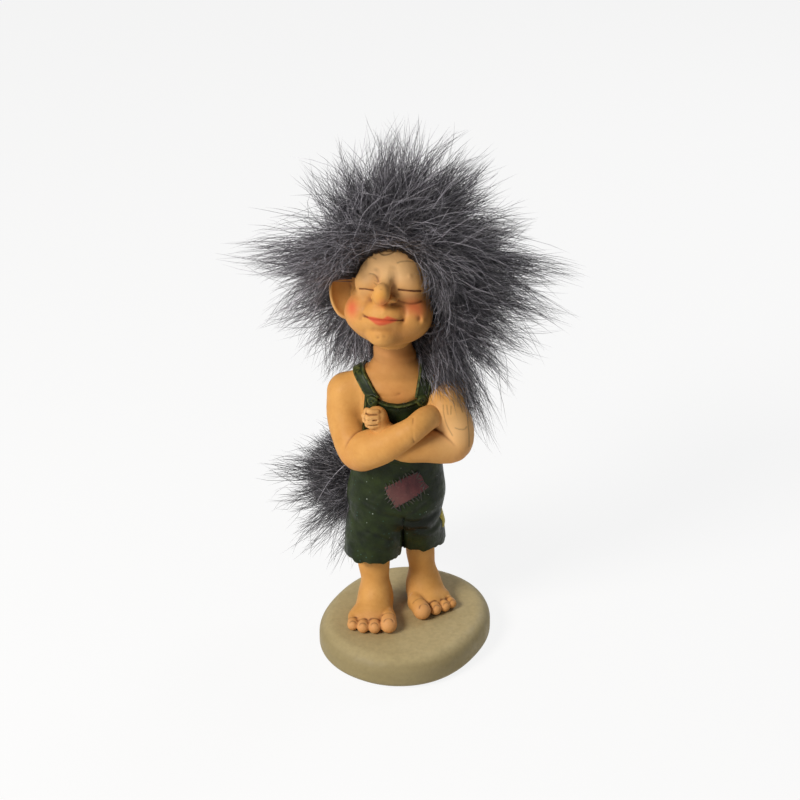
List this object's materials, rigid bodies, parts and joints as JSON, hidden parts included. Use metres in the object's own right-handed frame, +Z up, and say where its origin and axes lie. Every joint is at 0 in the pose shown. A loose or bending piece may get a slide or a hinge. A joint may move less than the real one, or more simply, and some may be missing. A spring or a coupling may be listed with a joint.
{
  "type": "folk troll figurine",
  "caption": "Standing folk-tale troll figurine with crossed arms, dungaree shorts, long fur hair and a fur tail, on an oval pebble plinth.",
  "frame": {"origin": "middle of the plinth's flat underside", "axes": "+Z up along the standing figure, -Y is the way the figure faces, +X is the figure's left"},
  "size_m": [0.0813, 0.0662, 0.1554],
  "materials": {
    "plinth_stone": "matt painted resin in a pebble tone",
    "pin_steel": "plain wire",
    "painted_skin": "hand-painted resin, satin",
    "painted_green": "hand-painted resin with dry-brushed edges",
    "painted_red": "hand-painted resin, matt",
    "painted_yellow": "hand-painted resin, matt",
    "tail_hide": "rolled hide",
    "fur_backing": "knitted fur backing",
    "fur": "long-pile fur"
  },
  "bodies": {
    "root": {"plinth": "plinth_stone", "right_ankle_pin": "pin_steel", "left_ankle_pin": "pin_steel", "right_leg": "painted_skin", "left_leg": "painted_skin", "shorts": "painted_green", "red_patch": "painted_red", "yellow_patch": "painted_yellow", "tail_stem": "tail_hide", "tail_backing": "fur_backing", "tail_fur": "fur", "torso": "painted_skin", "bib": "painted_green", "back_panel": "painted_green", "right_strap": "painted_green", "left_strap": "painted_green", "right_button": "painted_green", "left_button": "painted_green", "right_arm": "painted_skin", "left_arm": "painted_skin", "head": "painted_skin", "right_ear": "painted_skin", "left_ear": "painted_skin", "wig_backing": "fur_backing", "hair": "fur"}
  },
  "joints": []
}
